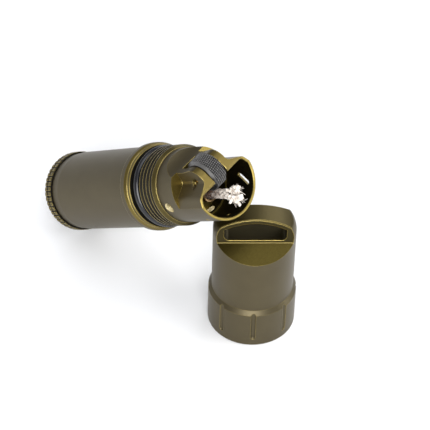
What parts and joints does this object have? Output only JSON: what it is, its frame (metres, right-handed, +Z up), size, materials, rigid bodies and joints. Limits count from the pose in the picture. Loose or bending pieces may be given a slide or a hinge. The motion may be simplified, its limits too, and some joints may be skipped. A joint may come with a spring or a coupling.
{
  "type": "refillable wick lighter",
  "caption": "Cylindrical aluminium wick lighter with a serrated flint wheel, windscreen chimney, knurled tail cap, and a screw cap with a lanyard slot, taken off and standing under the head.",
  "frame": {"origin": "floor, below the middle of the whole object's box", "axes": "+X the way the barrel points from tail to head, seen from above; +Z up"},
  "size_m": [0.0848, 0.0328, 0.0594],
  "materials": {
    "olive_anodised": "bead-blasted and anodised olive drab, machined edges brighter",
    "nitrile_rubber": "moulded, slightly glossy",
    "hardened_steel": "cross-cut teeth, dark hardened steel",
    "brass": "turned",
    "ferrocerium": "pressed",
    "spring_steel": "drawn wire",
    "wick_cotton": "braided cotton, frayed end",
    "grey_felt": "pressed felt",
    "packing_cotton": "loose cotton wool"
  },
  "bodies": {
    "cap": {"screw_cap": "olive_anodised"},
    "barrel": {"body_tube": "olive_anodised", "neck_o_ring": "nitrile_rubber", "windscreen_head": "olive_anodised", "head_o_ring": "nitrile_rubber", "wheel_axle": "brass", "flint_tube": "brass", "wick_tube": "brass", "felt_pad": "grey_felt", "cotton_wad_1": "packing_cotton", "cotton_wad_2": "packing_cotton", "cotton_wad_3": "packing_cotton", "cotton_wad_4": "packing_cotton"},
    "wheel": {"flint_wheel": "hardened_steel"},
    "tail_seal": {"tail_o_ring": "nitrile_rubber"},
    "tail": {"tail_cap": "olive_anodised"},
    "flint_feed": {"flint": "ferrocerium", "flint_plunger": "brass"},
    "screw": {"flint_screw": "brass", "flint_spring": "spring_steel"},
    "wick": {"wick": "wick_cotton"}
  },
  "joints": [
    {"name": "lighter_tip_up", "type": "hinge", "parent": "cap", "child": "barrel", "pos_m": [-0.02875, -0.00394, 0], "axis": [0, -1, 0], "range_deg": [0, 54.09]},
    {"name": "wheel_spin", "type": "hinge", "parent": "barrel", "child": "wheel", "pos_m": [0.01949, -0.00471, 0.0541], "axis": [0.1119, -0.9816, -0.1546], "continuous": true},
    {"name": "tail_travel", "type": "slide", "parent": "barrel", "child": "tail_seal", "axis": [-0.81, 0, -0.5865], "range_m": [0, 0.0072]},
    {"name": "tail_turn", "type": "hinge", "parent": "tail_seal", "child": "tail", "pos_m": [-0.03555, -0.00394, 0.0094], "axis": [-0.81, 0, -0.5865], "range_deg": [0, 2591]},
    {"name": "flint_push", "type": "slide", "parent": "barrel", "child": "flint_feed", "axis": [-0.81, 0, -0.5865], "range_m": [0, 0.002], "stiffness_N_per_m": 150, "springref_m": -0.004, "deforming": ["flint_spring"]},
    {"name": "flint_screw_out", "type": "slide", "parent": "barrel", "child": "screw", "axis": [-0.81, 0, -0.5865], "range_m": [0, 0.0045]},
    {"name": "wick_pull", "type": "slide", "parent": "barrel", "child": "wick", "axis": [0.81, 0, 0.5865], "range_m": [0, 0.003]}
  ],
  "couplings": [
    {"joint": "tail_travel", "follows": "tail_turn", "m_per_rad": 0.00015915}
  ]
}
